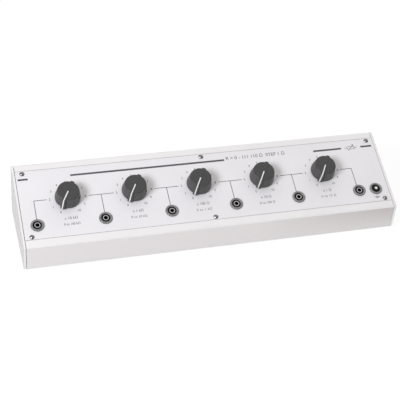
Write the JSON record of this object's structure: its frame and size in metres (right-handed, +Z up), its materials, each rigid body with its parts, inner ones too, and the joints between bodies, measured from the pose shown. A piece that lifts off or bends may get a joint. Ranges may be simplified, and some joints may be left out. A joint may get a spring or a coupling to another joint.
{
  "type": "decade resistance box",
  "caption": "Long low bench box with a sloping white panel, a row of pointer knobs on rotary decade switches, and shrouded 4 mm sockets between them.",
  "frame": {"origin": "on the bench under the middle of the case", "axes": "+X along the case to the right as seen from the front, +Y from front to back, +Z up"},
  "size_m": [0.375, 0.087, 0.0641],
  "materials": {
    "white_paint": "satin powder coat",
    "panel_white": "satin print on white lacquer",
    "pale_screw": "bright plated head",
    "knob_black": "fine matt moulding",
    "black_plastic": "smooth moulding",
    "ring_grey": "smooth grey moulding",
    "switch_black": "phenolic moulding",
    "rotor_tan": "laminate",
    "resistor_blue": "lacquer",
    "wire_red": "wire insulation",
    "rubber": "matt",
    "nickel": "nickel plate",
    "zinc": "zinc plate",
    "brass": "tinned brass"
  },
  "bodies": {
    "case": {"case_shell": "white_paint", "left_end_plate": "white_paint", "right_end_plate": "white_paint", "end_plate_screws": "zinc", "rubber_feet": "rubber", "front_panel": "panel_white", "panel_screws": "pale_screw", "panel_nuts": "zinc", "socket_rings": "ring_grey", "socket_nuts": "black_plastic", "earth_body": "black_plastic", "earth_pin": "nickel", "earth_washer": "zinc", "earth_nut": "zinc", "switch_washers": "zinc", "switch_nuts": "zinc", "switch_lugs": "brass", "link_wires": "wire_red", "socket_body_1": "black_plastic", "socket_contact_1": "nickel", "socket_body_2": "black_plastic", "socket_contact_2": "nickel", "socket_body_3": "black_plastic", "socket_contact_3": "nickel", "socket_body_4": "black_plastic", "socket_contact_4": "nickel", "socket_body_5": "black_plastic", "socket_contact_5": "nickel", "socket_body_6": "black_plastic", "socket_contact_6": "nickel", "switch_housing_1": "switch_black", "resistors_1": "resistor_blue", "switch_housing_2": "switch_black", "resistors_2": "resistor_blue", "switch_housing_3": "switch_black", "resistors_3": "resistor_blue", "switch_housing_4": "switch_black", "resistors_4": "resistor_blue", "switch_housing_5": "switch_black", "resistors_5": "resistor_blue"},
    "dial_1": {"knob_1": "knob_black", "knob_screw_1": "zinc", "switch_shaft_1": "nickel", "switch_rotor_1": "rotor_tan"},
    "dial_2": {"knob_2": "knob_black", "knob_screw_2": "zinc", "switch_shaft_2": "nickel", "switch_rotor_2": "rotor_tan"},
    "dial_3": {"knob_3": "knob_black", "knob_screw_3": "zinc", "switch_shaft_3": "nickel", "switch_rotor_3": "rotor_tan"},
    "dial_4": {"knob_4": "knob_black", "knob_screw_4": "zinc", "switch_shaft_4": "nickel", "switch_rotor_4": "rotor_tan"},
    "dial_5": {"knob_5": "knob_black", "knob_screw_5": "zinc", "switch_shaft_5": "nickel", "switch_rotor_5": "rotor_tan"}
  },
  "joints": [
    {"name": "decade_1", "type": "hinge", "parent": "case", "child": "dial_1", "pos_m": [-0.139, 0.00273, 0.04805], "axis": [0, 0.3371, -0.9415], "range_deg": [0, 300]},
    {"name": "decade_2", "type": "hinge", "parent": "case", "child": "dial_2", "pos_m": [-0.074, 0.00273, 0.04805], "axis": [0, 0.3371, -0.9415], "range_deg": [0, 300]},
    {"name": "decade_3", "type": "hinge", "parent": "case", "child": "dial_3", "pos_m": [-0.009, 0.00273, 0.04805], "axis": [0, 0.3371, -0.9415], "range_deg": [0, 300]},
    {"name": "decade_4", "type": "hinge", "parent": "case", "child": "dial_4", "pos_m": [0.056, 0.00273, 0.04805], "axis": [0, 0.3371, -0.9415], "range_deg": [0, 300]},
    {"name": "decade_5", "type": "hinge", "parent": "case", "child": "dial_5", "pos_m": [0.121, 0.00273, 0.04805], "axis": [0, 0.3371, -0.9415], "range_deg": [0, 300]}
  ]
}
